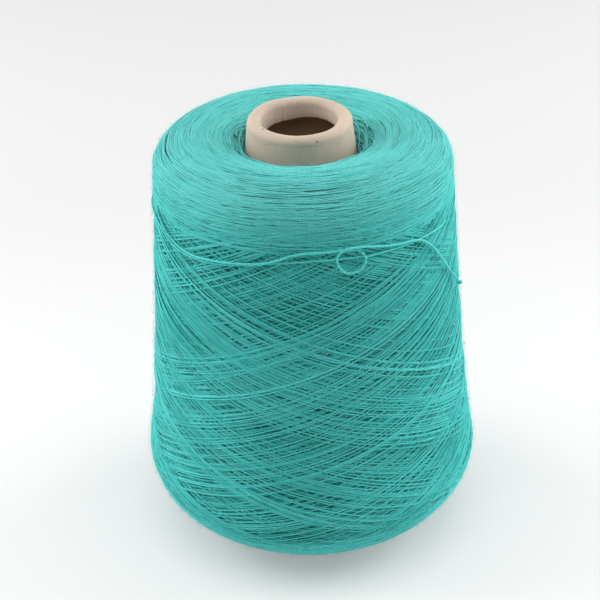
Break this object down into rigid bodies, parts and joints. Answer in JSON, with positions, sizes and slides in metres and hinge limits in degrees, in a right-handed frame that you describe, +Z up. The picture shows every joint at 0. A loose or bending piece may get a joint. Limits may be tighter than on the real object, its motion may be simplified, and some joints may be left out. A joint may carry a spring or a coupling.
{
  "type": "yarn cone",
  "caption": "Cone of teal knitting yarn wound with rounded ends on a paper cone with a rolled nose; the loose end hangs over the side with a small ring and an end knot.",
  "frame": {"origin": "centre of the cone's wide open end, on the surface that it stands on", "axes": "+Z up the cone's axis towards the nose; -Y is the front, where the loose end lies; +X to the right seen from the front"},
  "size_m": [0.1296, 0.1296, 0.17],
  "materials": {
    "board": "matte pale recycled board",
    "liner": "matte brown kraft board",
    "yarn": "soft two-ply teal yarn with a light fuzz"
  },
  "bodies": {
    "root": {"cone_board": "board", "cone_liner": "liner", "yarn_package": "yarn", "transfer_tail": "yarn", "loose_end": "yarn", "end_knot": "yarn"}
  },
  "joints": []
}
